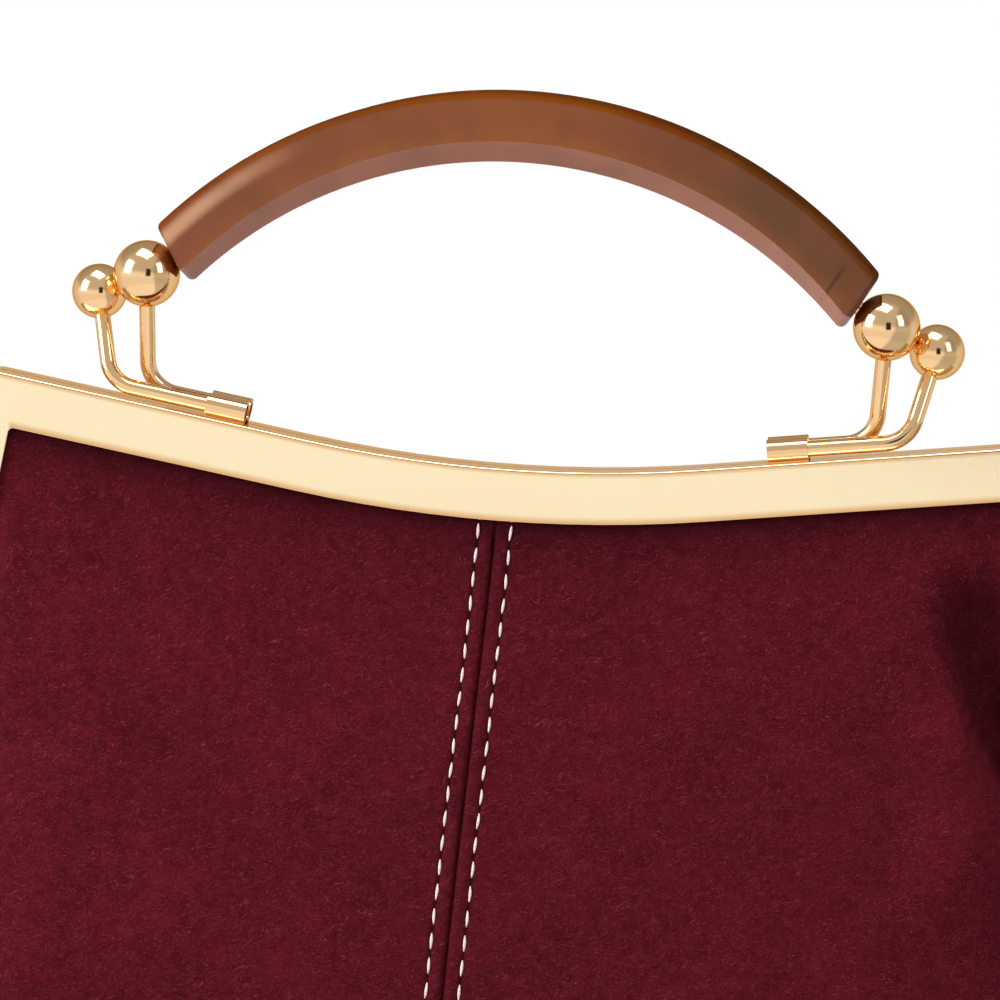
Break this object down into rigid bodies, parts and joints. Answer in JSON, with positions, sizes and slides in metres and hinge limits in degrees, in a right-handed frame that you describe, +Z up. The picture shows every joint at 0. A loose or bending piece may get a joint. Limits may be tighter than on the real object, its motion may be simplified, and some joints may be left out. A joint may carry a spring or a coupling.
{
  "type": "kiss lock frame purse",
  "caption": "Suede handbag on a hinged gold channel frame that shuts with a ball kiss lock, carried by an arched resin handle.",
  "frame": {"origin": "middle of the bag's base, on the surface it stands on", "axes": "+X to the right seen from the front, +Y from front to back, +Z up"},
  "size_m": [0.2602, 0.088, 0.2545],
  "materials": {
    "gold_plate": "polished pale gold plating on brass and steel",
    "resin": "polished translucent brown resin",
    "suede": "dark burgundy suede with a short nap",
    "lining_cloth": "plain woven lining",
    "board": "grey-brown stiffening board",
    "cord": "twisted paper cord"
  },
  "bodies": {
    "rear_half": {"rear_frame": "gold_plate", "handle": "resin", "base_panel": "suede", "base_board": "board", "lining_body": "lining_cloth", "channel_cord_rear": "cord", "hinge_rivet_left": "gold_plate", "hinge_rivet_right": "gold_plate", "rear_arm_left": "gold_plate", "rear_arm_right": "gold_plate", "rear_sleeve_left": "gold_plate", "rear_sleeve_right": "gold_plate", "handle_ball_left": "gold_plate", "handle_ball_right": "gold_plate", "handle_stud_left": "gold_plate", "handle_stud_right": "gold_plate", "back_panel_left": "suede", "back_panel_right": "suede", "front_panel_left": "suede", "front_panel_right": "suede"},
    "front_half": {"front_frame": "gold_plate", "front_lining_top": "lining_cloth", "channel_cord_front": "cord", "front_sleeve_left": "gold_plate", "front_sleeve_right": "gold_plate", "front_panel_top_left": "suede", "front_panel_top_right": "suede"},
    "clasp_left": {"front_arm_left": "gold_plate", "clasp_ball_left": "gold_plate"},
    "clasp_right": {"front_arm_right": "gold_plate", "clasp_ball_right": "gold_plate"}
  },
  "joints": [
    {"name": "frame_open", "type": "hinge", "parent": "rear_half", "child": "front_half", "pos_m": [0, 0, 0.127], "axis": [1, 0, 0], "range_deg": [0, 50], "deforming": ["front_panel_top_left", "front_panel_top_right", "front_lining_top", "clasp_ball_left", "clasp_ball_right"]},
    {"name": "clasp_left_flex", "type": "hinge", "parent": "front_half", "child": "clasp_left", "pos_m": [-0.06269, -0.0032, 0.1851], "axis": [0, -1, 0], "range_deg": [0, 5], "stiffness_Nm_per_rad": 1.5, "deforming": ["front_arm_left"]},
    {"name": "clasp_right_flex", "type": "hinge", "parent": "front_half", "child": "clasp_right", "pos_m": [0.06269, -0.0032, 0.1851], "axis": [0, 1, 0], "range_deg": [0, 5], "stiffness_Nm_per_rad": 1.5, "deforming": ["front_arm_right"]}
  ]
}
